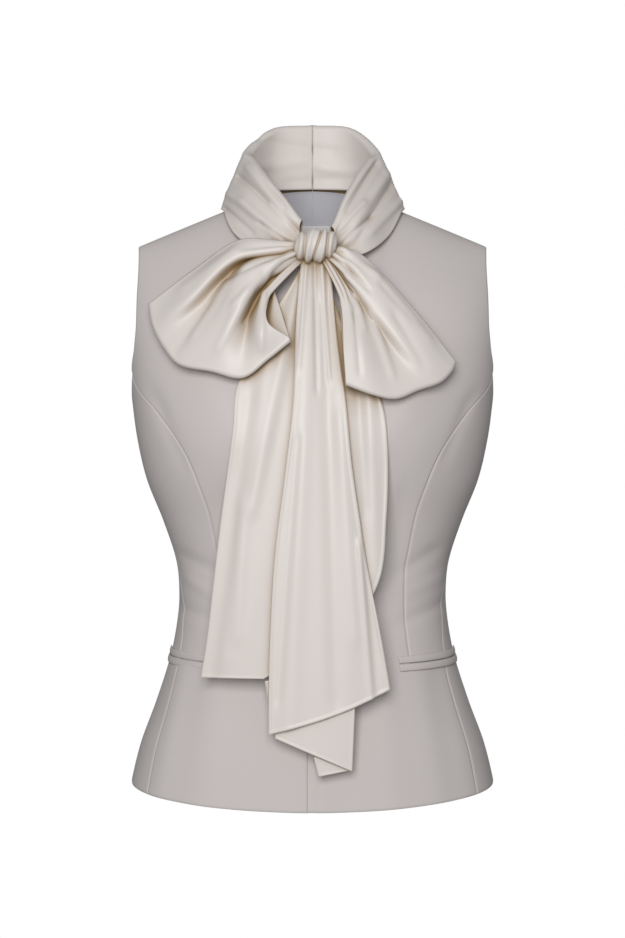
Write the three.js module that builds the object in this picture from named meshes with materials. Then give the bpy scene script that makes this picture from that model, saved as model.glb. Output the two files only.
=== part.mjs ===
// A fitted, sleeveless waistcoat in suiting with a satin scarf collar tied in a bow.
// Millimetres, +Z up, the front faces -Y and the wearer's left side is +X.
// The origin is the middle of the neck base, level with the inner ends of the shoulder seams.
import * as THREE from "three";

// Driving sizes
const shellThickness = 1.6;
const satinThickness = 1.2;
const liningThickness = 0.9;
const liningGap = 0.4;
const labelThickness = 0.6;
const seamGap = 0.3;
const neckHalfWidth = 70;
const shoulderSlope = Math.tan(THREE.MathUtils.degToRad(22.4));
const shoulderRound = 100;
const frontNeckDrop = 70;
const backNeckRise = 20;
const neckWallHeight = 110;
const ringFullness = 0.06;
const lapEdge = -5;
const underlapEdge = -24;
const lapStep = shellThickness + 1;
const hem = { side: -576, frontDip: 15, backDip: 3 };
const weltThickness = 1.2;
const weltLift = 0.45;
const pocket = { innerAngle: 33.5, outerAngle: 88, height: -452, rise: 4, weltWidth: 6, mouth: 1.6 };
const underarm = { height: -196, rise: 25, halfAngle: 17 };
const bust = { x: 84, z: -232, lift: 11, halfWidth: 48, halfHeight: 62 };
const tailHang = { bow: 16, smooth: 5 };
const knot = { x: 3, y: -104, z: -52, halfWidth: 21, halfDepth: 14, halfHeight: 15.5, wrapAngle: 35 };
const label = { width: 36, top: -14, bottom: -34 };

// The hollow form of the body: one ring for each height, front and back depth measured from the side line
const rings = [
  { z: -600, halfWidth: 186, front: 119, back: 122 },
  { z: -540, halfWidth: 172, front: 115, back: 114 },
  { z: -496, halfWidth: 156, front: 110, back: 104 },
  { z: -452, halfWidth: 142, front: 105, back: 94 },
  { z: -416, halfWidth: 135, front: 101, back: 86 },
  { z: -386, halfWidth: 133, front: 100, back: 83 },
  { z: -356, halfWidth: 136, front: 101, back: 85 },
  { z: -316, halfWidth: 149, front: 107, back: 91 },
  { z: -276, halfWidth: 165, front: 115, back: 98 },
  { z: -236, halfWidth: 174.5, front: 120, back: 103 },
  { z: -196, halfWidth: 180, front: 117, back: 105 },
  { z: -150, halfWidth: 185, front: 105, back: 103 },
  { z: -100, halfWidth: 190, front: 87, back: 94 },
  { z: -60, halfWidth: 190, front: 70, back: 81 },
  { z: 0, halfWidth: 190, front: 48, back: 62 },
  { z: 40, halfWidth: 190, front: 40, back: 50 },
];

// Seam angles round the body in degrees from the centre front. The level is 0 at the hem, 1 at the
// pocket, 2 at the height of the underarm and 3 at the neck and shoulder.
const princessSeam = [
  { level: 0, angle: 39 },
  { level: 1, angle: 39 },
  { level: 1.36, angle: 39 },
  { level: 1.56, angle: 38.5 },
  { level: 1.72, angle: 42.5 },
  { level: 1.87, angle: 54.5 },
  { level: 2, angle: 73 },
  { level: 2.12, angle: 67 },
  { level: 2.25, angle: 62.5 },
  { level: 2.5, angle: 60.5 },
  { level: 3, angle: 61.6 },
];
const sideFrontSeam = [
  { level: 0, angle: 57 },
  { level: 0.5, angle: 58.5 },
  { level: 1, angle: 61.5 },
  { level: 1.18, angle: 68 },
  { level: 1.3, angle: 75 },
  { level: 1.6, angle: 84 },
  { level: 2, angle: 89 },
];
const sideBackSeam = [
  { level: 0, angle: 124 },
  { level: 1, angle: 119 },
  { level: 1.4, angle: 116 },
  { level: 2, angle: 107 },
  { level: 2.12, angle: 113.5 },
  { level: 2.25, angle: 117.5 },
  { level: 2.5, angle: 119.5 },
  { level: 3, angle: 118.4 },
];

// How far forward a hanging scarf end lies below the knot
const hangLine = [
  { z: -60, depth: 90 },
  { z: -110, depth: 104 },
  { z: -160, depth: 118 },
  { z: -230, depth: 129 },
  { z: -320, depth: 131 },
  { z: -460, depth: 129 },
  { z: -570, depth: 127 },
];

// The collar is one doubled band. Each section gives its inner seam, its rolled rim and its outer lower edge.
const collarRight = [
  { section: "centre back", seam: [-0.6, 52, 21], rim: [-0.6, 54, 86], base: [-0.6, 66, 14], puff: 3 },
  { section: "back corner", seam: [-44, 40, 18], rim: [-40, 42, 81], base: [-64, 38, 6], puff: 4 },
  { section: "side", seam: [-64, 6, 8], rim: [-65, 4, 54], base: [-89, 1, -4], puff: 1 },
  { section: "shoulder", seam: [-64, -16, -2], rim: [-59, -18, 42], base: [-87, -22, -12], puff: 1 },
  { section: "front side", seam: [-58, -40, -14], rim: [-48, -44, 25], base: [-75, -50, -36], puff: 2 },
  { section: "front", seam: [-36, -68, -30], rim: [-25, -73, -6], base: [-46, -79, -58], puff: 3 },
  { section: "at the knot", seam: [-13, -76, -48], rim: [-11, -81, -26], base: [-16, -85, -66], puff: 1 },
];
const collarLeft = [
  { section: "centre back", seam: [0.6, 52, 21], rim: [0.6, 54, 86], base: [0.6, 66, 14], puff: 3 },
  { section: "back corner", seam: [44, 40, 18], rim: [40, 42, 81], base: [64, 38, 6], puff: 4 },
  { section: "side", seam: [63, 6, 8], rim: [64, 4, 53], base: [89, 1, -4], puff: 1 },
  { section: "shoulder", seam: [63, -16, -2], rim: [57, -17, 41], base: [87, -22, -12], puff: 1 },
  { section: "front side", seam: [57, -40, -14], rim: [44, -43, 21], base: [74, -50, -37], puff: 3 },
  { section: "front", seam: [38, -66, -30], rim: [30, -68, -6], base: [52, -78, -56], puff: 4 },
  { section: "at the knot", seam: [16, -76, -50], rim: [19, -81, -32], base: [21, -85, -66], puff: 1 },
];

// Each bow loop leaves the knot at its root, spreads, and turns back at its outer end. One row for each
// fold: where it lies across and up, and how far it lifts off the cloth that hangs below it.
const loopRight = [
  { fold: "upper edge", root: [-25, -49, 14], upper: [-71, -46.5, 10], lower: [-116, -75, 10], turn: [-155, -104, 12] },
  { fold: "first crest", root: [-27, -53, 15], upper: [-76, -65, 24], lower: [-121, -105, 22], turn: [-150, -126, 13] },
  { fold: "valley", root: [-28.6, -57, 11], upper: [-69, -70, 11], lower: [-104, -108, 12], turn: [-138, -148, 12] },
  { fold: "second edge", root: [-29.5, -62, 17], upper: [-65.5, -76, 25], lower: [-86, -119, 24], turn: [-123, -163, 14] },
  { fold: "second crest", root: [-31.4, -68, 16], upper: [-56, -90, 27], lower: [-76, -129, 26], turn: [-94, -169, 14] },
  { fold: "slit", root: [-34, -77, 10], upper: [-55.4, -105, 12], lower: [-63, -138, 14], turn: [-65, -175, 12] },
  { fold: "third crest", root: [-36, -84, 13], upper: [-49, -109, 19], lower: [-51, -137, 26], turn: [-42, -158, 16] },
  { fold: "curled edge", root: [-38, -89, 11], upper: [-43.7, -108, 15], lower: [-41.5, -128, 25], turn: [-22, -141, 18] },
];
const loopLeft = [
  { fold: "upper edge", root: [25, -50, 15], upper: [54, -67, 12], lower: [102, -120, 12], turn: [134, -161, 12] },
  { fold: "band crest", root: [25, -58, 18], upper: [53, -85, 20], lower: [93, -133, 20], turn: [129, -170, 14] },
  { fold: "band edge", root: [24.5, -66, 15], upper: [47, -98, 19], lower: [83, -143, 20], turn: [118, -180, 14] },
  { fold: "inner fold", root: [24.5, -71, 11], upper: [43, -104, 12], lower: [75, -150, 12], turn: [98, -187, 12] },
  { fold: "middle edge", root: [24.5, -76, 11], upper: [38, -107, 15], lower: [63, -150, 15], turn: [77, -195, 13] },
  { fold: "middle crest", root: [24.5, -80, 13], upper: [33, -110, 19], lower: [47, -152, 23], turn: [55, -191, 18] },
  { fold: "left edge", root: [24.5, -87, 12], upper: [28, -114, 18], lower: [29, -152, 24], turn: [31, -182, 20] },
];
const loopTurnRadius = 3.5;

// The scarf ends hang from the knot: the left and right edge at each height, and how far each lies forward
const tailBack = [
  { z: -74, left: -12, right: 12, lift: 2 },
  { z: -133, left: -47, right: 31, lift: 2 },
  { z: -186, left: -71, right: 60, lift: 2 },
  { z: -228, left: -75, right: 69.7, lift: 2 },
  { z: -313, left: -86.6, right: 69.6, lift: 2 },
  { z: -379, left: -94.5, right: 59.3, lift: 2 },
  { z: -426, left: -100, right: 17, lift: 2 },
  { z: -463, left: -106, right: -46, lift: 2 },
];
const tailFront = [
  { z: -74, left: -11.5, right: 17, lift: 8 },
  { z: -134, left: -16, right: 22.5, lift: 7 },
  { z: -200, left: -18, right: 31, lift: 7 },
  { z: -266, left: -25.3, right: 37.5, lift: 7 },
  { z: -350, left: -35.6, right: 50.7, lift: 7 },
  { z: -435, left: -40.3, right: 66.7, lift: 7 },
  { z: -490, left: -41.3, right: 76.2, lift: 7 },
];
const tailFrontHem = { left: -515, right: -473, sag: 4 };
const foldedEnd = { tip: [-40, -516.5], shoulder: [40.5, -482], foot: [37.6, -550], lift: 4.5 };
const foldedCorner = { tip: [1, -535], shoulder: [36, -549], foot: [5.7, -555], lift: 2 };
const backCorner = { tip: [-45, -464.5], shoulder: [-38, -463.5], foot: [-41, -487], lift: 4.5 };

const suiting = new THREE.MeshStandardMaterial({ color: 0xc7bfbb, roughness: 0.85, metalness: 0 });
const satin = new THREE.MeshStandardMaterial({ color: 0xddd7cf, roughness: 0.5, metalness: 0 });
const lining = new THREE.MeshStandardMaterial({ color: 0xbab9be, roughness: 0.6, metalness: 0 });
const labelCloth = new THREE.MeshStandardMaterial({ color: 0xe6e4e2, roughness: 0.7, metalness: 0 });

const waistcoat = new THREE.Group();
const { clamp, lerp, degToRad } = THREE.MathUtils;

// A smooth curve through one column of a table: each stretch is a cubic whose slopes at its two ends
// follow the rows on either side.
function through(rows, along, column) {
  const t = rows.map((row) => row[along]);
  const y = rows.map((row) => row[column]);
  const last = rows.length - 1;
  const slope = (i) => {
    const before = Math.max(i - 1, 0);
    const after = Math.min(i + 1, last);
    return (y[after] - y[before]) / (t[after] - t[before]);
  };
  return (at) => {
    const here = clamp(at, t[0], t[last]);
    const i = clamp(t.findIndex((value) => value > here) - 1, 0, last - 1);
    const start = t[last] <= here ? last - 1 : i;
    const width = t[start + 1] - t[start];
    const s = (here - t[start]) / width;
    const rise = s * s * (3 - 2 * s);
    const leave = s * (1 - s) * (1 - s) * slope(start) * width;
    const arrive = s * s * (s - 1) * slope(start + 1) * width;
    return lerp(y[start], y[start + 1], rise) + leave + arrive;
  };
}

// The same for a column of points, with the rows evenly spaced from 0 to 1.
function throughPoints(rows, column) {
  const even = rows.map((row, i) => {
    const [x, y, z] = row[column];
    return { along: i / (rows.length - 1), x, y, z };
  });
  const [x, y, z] = ["x", "y", "z"].map((axis) => through(even, "along", axis));
  return (at) => new THREE.Vector3(x(at), y(at), z(at));
}

// A smooth curve through four points, at 0, 1/3, 2/3 and 1.
function alongPoints(points, at) {
  return throughPoints(points.map((point) => ({ point: point.toArray() })), "point")(at);
}

function steps(from, to, count) {
  return Array.from({ length: count + 1 }, (_, i) => lerp(from, to, i / count));
}

// A cloth wall on a surface: one vertex grid on the surface and one moved in by the thickness,
// joined round every edge. Cells that keep() turns down are left out. The thickness goes behind the
// surface, or in front of it where outside is set, and insetAt() moves the whole wall back.
function wall(name, surface, us, vs, thickness, material, options = {}) {
  const { keep = () => true, mirrored = false, outside = false, insetAt = () => 0 } = options;
  const nudge = 1e-3;
  const [u0, u1] = [us[0], us[us.length - 1]];
  const [v0, v1] = [vs[0], vs[vs.length - 1]];
  const normalAt = (u, v) => {
    const across = surface(Math.min(u + nudge, u1), v).sub(surface(Math.max(u - nudge, u0), v));
    const up = surface(u, Math.min(v + nudge, v1)).sub(surface(u, Math.max(v - nudge, v0)));
    return across.cross(up).normalize();
  };
  const positions = [];
  const faces = [];
  const index = new Map();
  const vertex = (i, j, side) => {
    const key = `${i},${j},${side}`;
    if (!index.has(key)) {
      const point = surface(us[i], vs[j]);
      const behind = (outside ? side - 1 : side) * thickness + insetAt(point);
      point.addScaledVector(normalAt(us[i], vs[j]), -behind);
      index.set(key, positions.length / 3);
      positions.push(mirrored ? -point.x : point.x, point.y, point.z);
    }
    return index.get(key);
  };
  const kept = (i, j) => i >= 0 && j >= 0 && i < us.length - 1 && j < vs.length - 1 && keep(us[i], vs[j]);
  const triangle = (a, b, c) => faces.push(...(mirrored ? [a, c, b] : [a, b, c]));
  for (let i = 0; i < us.length - 1; i++) {
    for (let j = 0; j < vs.length - 1; j++) {
      if (!kept(i, j)) continue;
      const corners = [[i, j], [i + 1, j], [i + 1, j + 1], [i, j + 1]];
      const [a, b, c, d] = corners.map(([m, n]) => vertex(m, n, 0));
      const [e, f, g, h] = corners.map(([m, n]) => vertex(m, n, 1));
      triangle(a, b, c);
      triangle(a, c, d);
      triangle(e, g, f);
      triangle(e, h, g);
      const rim = [[a, b, e, f, i, j - 1], [b, c, f, g, i + 1, j], [c, d, g, h, i, j + 1], [d, a, h, e, i - 1, j]];
      for (const [p, q, pIn, qIn, m, n] of rim) {
        if (kept(m, n)) continue;
        triangle(pIn, qIn, q);
        triangle(pIn, q, p);
      }
    }
  }
  const geometry = new THREE.BufferGeometry();
  geometry.setAttribute("position", new THREE.Float32BufferAttribute(positions, 3));
  geometry.setIndex(faces);
  geometry.computeVertexNormals();
  const mesh = new THREE.Mesh(geometry, material);
  mesh.name = name;
  waistcoat.add(mesh);
}

// The body form

const halfWidthAt = through([...rings].reverse().map(flipHeight), "down", "halfWidth");
const frontAt = through([...rings].reverse().map(flipHeight), "down", "front");
const backAt = through([...rings].reverse().map(flipHeight), "down", "back");

function flipHeight(ring) {
  return { ...ring, down: -ring.z };
}

// The line where front and back meet: the shoulder seam, and inside it a steep virtual neck wall.
function ridgeHeight(x) {
  const out = Math.abs(x) - neckHalfWidth;
  if (out >= 0) return -shoulderSlope * out;
  return neckWallHeight * Math.pow(-out / neckHalfWidth, 0.9);
}

// 0 on the shoulder seam and 1 where the panel hangs clear of it
function shoulderRise(x, z) {
  const below = clamp((ridgeHeight(x) - z) / shoulderRound, 0, 1);
  return Math.sqrt(1 - (1 - below) * (1 - below));
}

function bustLift(x, z) {
  const across = (Math.abs(x) - bust.x) / bust.halfWidth;
  const up = (z - bust.z) / bust.halfHeight;
  return bust.lift * Math.exp(-across * across - up * up);
}

function bodyPoint(degrees, z) {
  const angle = degToRad(degrees);
  const round = 1 + ringFullness * Math.sin(2 * angle) ** 2;
  const x = halfWidthAt(-z) * Math.sin(angle) * round;
  const facing = Math.cos(angle);
  const depth = (facing > 0 ? frontAt(-z) : backAt(-z)) * facing * round * shoulderRise(x, z);
  const cup = facing > 0 ? bustLift(x, z) * clamp(facing * 2, 0, 1) : 0;
  return new THREE.Vector3(x, -depth - cup, z);
}

// The front surface over a point of the front view
function frontDepth(x, z) {
  const reach = clamp(Math.abs(x) / halfWidthAt(-z), 0, 0.98);
  let angle = Math.asin(reach);
  for (let i = 0; i < 6; i++) {
    angle = Math.asin(clamp(reach / (1 + ringFullness * Math.sin(2 * angle) ** 2), 0, 1));
  }
  return -bodyPoint(THREE.MathUtils.radToDeg(angle), z).y;
}

function hemHeight(degrees) {
  const facing = Math.cos(degToRad(degrees));
  return hem.side - (facing > 0 ? hem.frontDip : hem.backDip) * facing * facing;
}

function pocketHeight(degrees) {
  const out = (Math.abs(degrees) - pocket.innerAngle) / (pocket.outerAngle - pocket.innerAngle);
  return pocket.height + pocket.rise * clamp(out, 0, 1.2);
}

function underarmHeight(degrees) {
  const off = clamp((Math.abs(degrees) - 90) / underarm.halfAngle, -1, 1);
  return underarm.height + underarm.rise * off * off;
}

// Neckline from the shoulder seam to the centre, or the shoulder seam outside it
function topHeight(x, isFront) {
  const inside = Math.abs(x) / neckHalfWidth;
  if (inside >= 1) return ridgeHeight(x);
  return isFront ? -frontNeckDrop * (1 - inside * inside) ** 0.7 : backNeckRise * (1 - inside * inside) ** 0.8;
}

function columnTop(degrees) {
  const isFront = Math.abs(degrees) < 90;
  let z = -20;
  for (let i = 0; i < 10; i++) z = topHeight(bodyPoint(degrees, Math.min(z, 20)).x, isFront);
  return z - seamGap / 2;
}

function levelHeight(degrees, topDegrees, level) {
  if (level <= 1) return lerp(hemHeight(degrees), pocketHeight(degrees), level);
  if (level <= 2) return lerp(pocketHeight(degrees), underarmHeight(degrees), level - 1);
  return lerp(underarmHeight(degrees), columnTop(topDegrees), Math.sin((level - 2) * Math.PI / 2));
}

const princess = through(princessSeam, "level", "angle");
const sideFront = through(sideFrontSeam, "level", "angle");
const sideBack = through(sideBackSeam, "level", "angle");

// A straight edge at a fixed distance from the middle, as an angle
function edgeAt(x, middleDegrees) {
  return (level) => {
    const z = levelHeight(middleDegrees, middleDegrees, level);
    const swing = THREE.MathUtils.radToDeg(Math.asin(x / halfWidthAt(-z)));
    return middleDegrees > 90 ? 180 - swing : swing;
  };
}

// A panel between seams: across counts from one seam to the next, and half a seam gap is kept at its
// two outer edges.
function panel(seams, gap = seamGap) {
  const trim = THREE.MathUtils.radToDeg(gap / 2 / halfWidthAt(-pocket.height));
  const last = seams.length - 1;
  const angleAt = (across, level) => {
    const edges = seams.map((seam) => seam(level));
    const i = clamp(Math.floor(across), 0, last - 1);
    const plain = lerp(edges[i], edges[i + 1], across - i);
    const nearEdge = (distance) => Math.max(0, 1 - 4 * distance);
    return plain + trim * (nearEdge(across) - nearEdge(last - across));
  };
  return (across, level) => {
    const degrees = angleAt(across, level);
    return bodyPoint(degrees, levelHeight(degrees, angleAt(across, 3), level));
  };
}

const hemToPocket = steps(0, 1, 4);
const pocketToUnderarm = steps(1, 2, 10).slice(1);
const underarmToTop = [2.12, 2.25, 2.4, 2.6, 2.8, 1 + 2];
const fullHeight = [...hemToPocket, ...pocketToUnderarm, ...underarmToTop];
const frontColumns = [0, 0.12, 0.24, 0.341, 0.45, 0.6, 0.75, 0.88, 1];
const sideColumns = steps(1, 2, 3);

// Front panels: above the pocket they end at the princess seam and the armhole, below it at the side seam.
const belowPocketOnly = (across, level) => across < 1 || level < 1;
for (const side of ["right", "left"]) {
  const isLeft = side === "left";
  const edge = isLeft ? underlapEdge : lapEdge;
  const centreFront = edgeAt(isLeft ? edge : -edge, 0);
  const lapColumns = isLeft ? [0, 0.08, 0.15, 0.22, ...frontColumns.slice(2)] : frontColumns;
  const columns = [...lapColumns, ...sideColumns.slice(1)];
  const insetAt = isLeft ? (point) => lapStep * THREE.MathUtils.smoothstep(-point.x, -9, 0.5) : () => 0;
  const shape = { keep: belowPocketOnly, mirrored: !isLeft, insetAt };
  const front = panel([centreFront, princess, sideFront]);
  wall(`front_${side}`, trimmed(front), columns, fullHeight, shellThickness, suiting, shape);
}

// The front has an inner corner at the pocket, so its gap to the side front is cut on that panel alone.
function trimmed(front) {
  const gap = seamGap / 2;
  return (across, level) => {
    const point = front(across, level);
    if (across !== 1 || level <= 1) return point;
    const nearer = front(across - 0.02, level);
    return point.add(nearer.sub(point).setLength(gap));
  };
}

const centreBack = () => 180;
const backColumns = [0, 0.15, 0.3, 0.45, 0.57, 0.655, 0.78, 0.91, 1];
for (const side of ["right", "left"]) {
  const mirrored = side === "right";
  const overPocket = [1 + seamGap / 280, ...pocketToUnderarm];
  const sideLevels = [...hemToPocket, ...pocketToUnderarm];
  const back = panel([sideBack, centreBack]);
  const shell = (name, surface, columns, levels) => {
    wall(`${name}_${side}`, surface, columns, levels, shellThickness, suiting, { mirrored });
  };
  shell("front_side", panel([princess, sideFront]), steps(0, 1, 3), overPocket);
  shell("side", panel([sideFront, sideBack]), steps(0, 1, 5), sideLevels);
  shell("back", back, backColumns, fullHeight);
  // The back lining lies inside the back panel, from the neck to a little above the hem.
  const inside = { mirrored, insetAt: () => shellThickness + liningGap };
  const liningPanel = panel([sideBack, centreBack], 2 * seamGap);
  wall(`lining_back_${side}`, liningPanel, backColumns, fullHeight.slice(1), liningThickness, lining, inside);
}

// A bare label on the lining below the back neck
const labelInset = shellThickness + liningGap + liningThickness + 1.1;
const labelSurface = (across, up) => {
  const z = lerp(label.bottom, label.top, up);
  const halfSwing = THREE.MathUtils.radToDeg(Math.asin(label.width / 2 / halfWidthAt(-z)));
  return bodyPoint(lerp(180 - halfSwing, 180 + halfSwing, across), z);
};
const labelPlace = { insetAt: () => labelInset };
wall("label", labelSurface, steps(0, 1, 4), steps(0, 1, 2), labelThickness, labelCloth, labelPlace);

// Pocket welts: two narrow jettings with a mouth between them, laid on the panels
for (const side of ["right", "left"]) {
  for (const [place, direction] of [["upper", 1], ["lower", -1]]) {
    const from = direction > 0 ? pocket.mouth / 2 : -pocket.mouth / 2 - pocket.weltWidth;
    const welt = (across, up) => {
      const degrees = lerp(pocket.innerAngle, pocket.outerAngle, across);
      const z = pocketHeight(degrees) + from + pocket.weltWidth * up;
      const point = bodyPoint(degrees, z);
      const out = new THREE.Vector3(point.x, point.y, 0).normalize();
      return point.addScaledVector(out, weltLift);
    };
    const mirrored = side === "right";
    const shape = { mirrored, outside: true };
    wall(`pocket_welt_${place}_${side}`, welt, steps(0, 1, 12), steps(0, 1, 1), weltThickness, suiting, shape);
  }
}

// The doubled collar band: up the inner side, over the rolled rim and down the outer side
const rimRoll = 4;
const innerShare = 0.45;
const outerShare = 0.55;
function collarSurface(rows) {
  const seamAt = throughPoints(rows, "seam");
  const rimAt = throughPoints(rows, "rim");
  const baseAt = throughPoints(rows, "base");
  const puffAt = through(rows.map((row, i) => ({ ...row, along: i / (rows.length - 1) })), "along", "puff");
  return (along, across) => {
    const rim = rimAt(along);
    const out = new THREE.Vector3(rim.x, rim.y, 0).normalize();
    const centre = rim.clone();
    centre.z -= rimRoll;
    const rimSide = (turn) => centre.clone()
      .addScaledVector(out, -rimRoll * Math.cos(turn))
      .add(new THREE.Vector3(0, 0, rimRoll * Math.sin(turn)));
    if (across < innerShare) return seamAt(along).lerp(rimSide(0), across / innerShare);
    if (across <= outerShare) return rimSide(Math.PI * (across - innerShare) / (outerShare - innerShare));
    const down = (across - outerShare) / (1 - outerShare);
    const bulge = puffAt(along) * Math.sin(Math.PI * down);
    return rimSide(Math.PI).lerp(baseAt(along), down).addScaledVector(out, bulge);
  };
}
const collarAcross = [0, 0.22, innerShare, 0.475, 0.5, 0.525, outerShare, 0.7, 0.85, 1];
const collarAlong = steps(0, 1, 13);
wall("collar_right", collarSurface(collarRight), collarAlong, collarAcross, satinThickness, satin);
wall("collar_left", collarSurface(collarLeft), collarAlong, collarAcross, satinThickness, satin, { outside: true });

// The knot: a rounded bundle with one band wrapped over it
const knotShape = new THREE.SphereGeometry(1, 18, 12);
const knotPoints = knotShape.getAttribute("position");
for (let i = 0; i < knotPoints.count; i++) {
  const point = new THREE.Vector3().fromBufferAttribute(knotPoints, i);
  const lean = Math.atan2(point.x, 1.4) + point.z * Math.sin(degToRad(knot.wrapAngle)) * 0.3;
  const wrap = 1 + 0.05 * Math.cos(9 * lean);
  const size = new THREE.Vector3(knot.halfWidth, knot.halfDepth, knot.halfHeight);
  point.multiply(size).multiplyScalar(wrap);
  knotPoints.setXYZ(i, point.x + knot.x, point.y + knot.y, point.z + knot.z);
}
knotShape.deleteAttribute("uv");
knotShape.computeVertexNormals();
const knotMesh = new THREE.Mesh(knotShape, satin);
knotMesh.name = "knot";
waistcoat.add(knotMesh);

// Hanging cloth keeps clear of the body and otherwise falls straight from the bust.
const hangDepthAt = through(hangLine.map((row) => ({ ...row, down: -row.z })), "down", "depth");
function hangingDepth(x, z) {
  const free = hangDepthAt(-z) - tailHang.bow * (x / 100) ** 2;
  const body = frontDepth(x, z) + 1;
  const apart = (free - body) / tailHang.smooth;
  return body + tailHang.smooth * Math.log(1 + Math.exp(apart));
}

// A bow loop: its front layer runs out along the folds, turns round its outer end and comes back behind
function loopSurface(rows) {
  const stations = ["root", "upper", "lower", "turn"].map((column) => throughPoints(rows, column));
  // Each point holds x, z and the lift in its three places.
  const front = (fold, along) => alongPoints(stations.map((station) => station(fold)), along);
  const seat = (point) => new THREE.Vector3(point.x, -hangingDepth(point.x, point.y) - point.z, point.y);
  return (fold, along) => {
    if (along <= 1) return seat(front(fold, along));
    const turn = front(fold, 1);
    const root = front(fold, 0);
    if (along < 2) {
      const sweep = Math.PI * (along - 1);
      const outward = turn.clone().sub(root).setZ(0).setLength(loopTurnRadius * Math.sin(sweep));
      const round = seat(turn.add(outward));
      round.y += loopTurnRadius * (1 - Math.cos(sweep));
      return round;
    }
    const point = seat(turn.lerp(root, along - 2));
    point.y += 2 * loopTurnRadius;
    return point;
  };
}
const loopAlong = [...steps(0, 1, 7), 1.5, ...steps(2, 3, 5)];
const loopFolds = (rows) => steps(0, 1, 2 * (rows.length - 1));
wall("loop_right", loopSurface(loopRight), loopFolds(loopRight), loopAlong, satinThickness, satin);
wall("loop_left", loopSurface(loopLeft), loopFolds(loopLeft), loopAlong, satinThickness, satin, { outside: true });

function tailSurface(rows, bottomAt) {
  const downRows = rows.map((row) => ({ ...row, down: -row.z }));
  const leftAt = through(downRows, "down", "left");
  const rightAt = through(downRows, "down", "right");
  const liftAt = through(downRows, "down", "lift");
  return (across, up) => {
    const z = lerp(bottomAt(across), rows[0].z, up);
    const x = lerp(leftAt(-z), rightAt(-z), across);
    return new THREE.Vector3(x, -hangingDepth(x, z) - liftAt(-z), z);
  };
}
const tailRows = steps(0, 1, 12);
const tailColumns = steps(0, 1, 6);
const backHem = () => tailBack[tailBack.length - 1].z;
const frontHem = (across) => {
  const sag = tailFrontHem.sag * Math.sin(Math.PI * across);
  return lerp(tailFrontHem.left, tailFrontHem.right, across) - sag;
};
wall("tail_back", tailSurface(tailBack, backHem), tailColumns, tailRows, satinThickness, satin);
wall("tail_front", tailSurface(tailFront, frontHem), tailColumns, tailRows, satinThickness, satin);

// The folded ends below the hems: three-cornered flaps
function flapSurface(flap) {
  return (across, up) => {
    const [fromX, fromZ] = flap.tip;
    const x = lerp(fromX, lerp(flap.foot[0], flap.shoulder[0], up), lerp(0.06, 1, across));
    const z = lerp(fromZ, lerp(flap.foot[1], flap.shoulder[1], up), lerp(0.06, 1, across));
    return new THREE.Vector3(x, -hangingDepth(x, z) - flap.lift, z);
  };
}
wall("tail_front_folded_end", flapSurface(foldedEnd), steps(0, 1, 6), steps(0, 1, 4), satinThickness, satin);
wall("tail_front_corner", flapSurface(foldedCorner), steps(0, 1, 3), steps(0, 1, 2), 1, satin);
wall("tail_back_corner", flapSurface(backCorner), steps(0, 1, 3), steps(0, 1, 2), 1, satin);

export default waistcoat;
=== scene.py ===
"""The look of a fitted sleeveless waistcoat with a satin scarf collar tied in a bow.

Surfaces are worked out in millimetres, +Z up and the front facing -Y, and built in metres.
"""

import bmesh
import bpy
import numpy as np
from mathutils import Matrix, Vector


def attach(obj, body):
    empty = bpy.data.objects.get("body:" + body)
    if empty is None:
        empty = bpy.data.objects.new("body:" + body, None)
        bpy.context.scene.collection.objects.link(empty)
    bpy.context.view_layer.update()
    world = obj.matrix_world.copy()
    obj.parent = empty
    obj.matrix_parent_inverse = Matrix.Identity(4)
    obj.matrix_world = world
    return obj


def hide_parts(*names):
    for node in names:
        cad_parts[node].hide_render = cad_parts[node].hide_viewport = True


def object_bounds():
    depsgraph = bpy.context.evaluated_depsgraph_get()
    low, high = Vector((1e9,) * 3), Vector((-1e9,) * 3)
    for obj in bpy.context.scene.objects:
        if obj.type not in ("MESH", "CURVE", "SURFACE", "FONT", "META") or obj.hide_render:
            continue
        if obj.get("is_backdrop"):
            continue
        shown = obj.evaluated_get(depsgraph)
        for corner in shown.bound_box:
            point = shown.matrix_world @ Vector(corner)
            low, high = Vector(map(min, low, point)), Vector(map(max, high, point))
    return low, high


bl_info = {
    "name": "Waistcoat",
    "version": (1, 0, 0),
    "blender": (4, 5, 0),
    "location": "View3D > Sidebar > Waistcoat",
    "description": "Builds a fitted waistcoat with a scarf collar tied in a bow",
    "category": "Object",
}

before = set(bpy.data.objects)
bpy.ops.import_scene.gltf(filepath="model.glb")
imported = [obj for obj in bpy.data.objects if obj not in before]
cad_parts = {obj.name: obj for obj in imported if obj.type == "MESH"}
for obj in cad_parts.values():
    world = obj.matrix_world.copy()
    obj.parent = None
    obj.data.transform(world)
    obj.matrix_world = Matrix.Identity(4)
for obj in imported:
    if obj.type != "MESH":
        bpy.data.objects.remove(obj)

# Sizes in millimetres
SEAM_GAP = 0.06
NECK_HALF_WIDTH = 70
NECK_WALL_HEIGHT = 110
FRONT_NECK_DROP, BACK_NECK_RISE = 70, 20
SHOULDER_SLOPE = np.tan(np.radians(22.4))
SHOULDER_ROUND = 100
RING_FULLNESS = 0.06
BUST_X, BUST_Z, BUST_LIFT = 84, -232, 11
BUST_HALF_WIDTH, BUST_HALF_HEIGHT = 48, 62
HEM_SIDE, HEM_FRONT_DIP, HEM_BACK_DIP = -576, 15, 3
UNDERARM_HEIGHT, UNDERARM_RISE, UNDERARM_HALF_ANGLE = -196, 25, 17
LAP_EDGE, UNDERLAP_EDGE, LAP_STEP = 5, -24, 2.6
POCKET_INNER, POCKET_OUTER = 33.5, 88
POCKET_HEIGHT, POCKET_RISE, POCKET_MOUTH = -452, 4, 1.6
WELT_WIDTH, WELT_LIFT, WELT_THICKNESS = 6, 0.45, 1.2
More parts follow.
